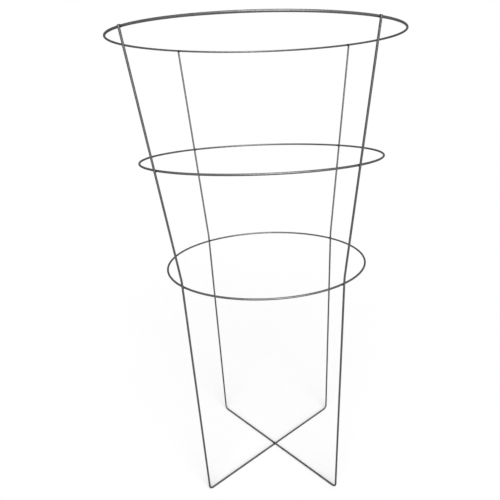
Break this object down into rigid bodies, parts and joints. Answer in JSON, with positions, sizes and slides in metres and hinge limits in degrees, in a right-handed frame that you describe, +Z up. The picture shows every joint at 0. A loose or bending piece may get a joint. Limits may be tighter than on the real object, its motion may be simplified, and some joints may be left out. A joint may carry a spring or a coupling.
{
  "type": "tomato cage",
  "caption": "Free-standing plant support of round galvanised wire: rings that widen upwards, welded inside U-shaped legs that cross at the foot.",
  "frame": {"origin": "middle of the foot, on the ground under the crossing of the two leg wires", "axes": "+Z up along the cage's axis; the legs stand at 45 degrees to +X and +Y, so -Y faces out between the two front legs"},
  "size_m": [0.457, 0.457, 0.7872],
  "materials": {
    "galvanised_ring_wire": "galvanised, dull dark grey",
    "galvanised_leg_wire": "galvanised, dull dark grey",
    "weld_metal": "dark, heat-tinted weld bead"
  },
  "bodies": {
    "root": {"top_ring": "galvanised_ring_wire", "middle_ring": "galvanised_ring_wire", "bottom_ring": "galvanised_ring_wire", "leg_wire_under": "galvanised_leg_wire", "leg_wire_over": "galvanised_leg_wire", "top_ring_welds": "weld_metal", "middle_ring_welds": "weld_metal", "bottom_ring_welds": "weld_metal", "foot_cross_weld": "weld_metal"}
  },
  "joints": []
}
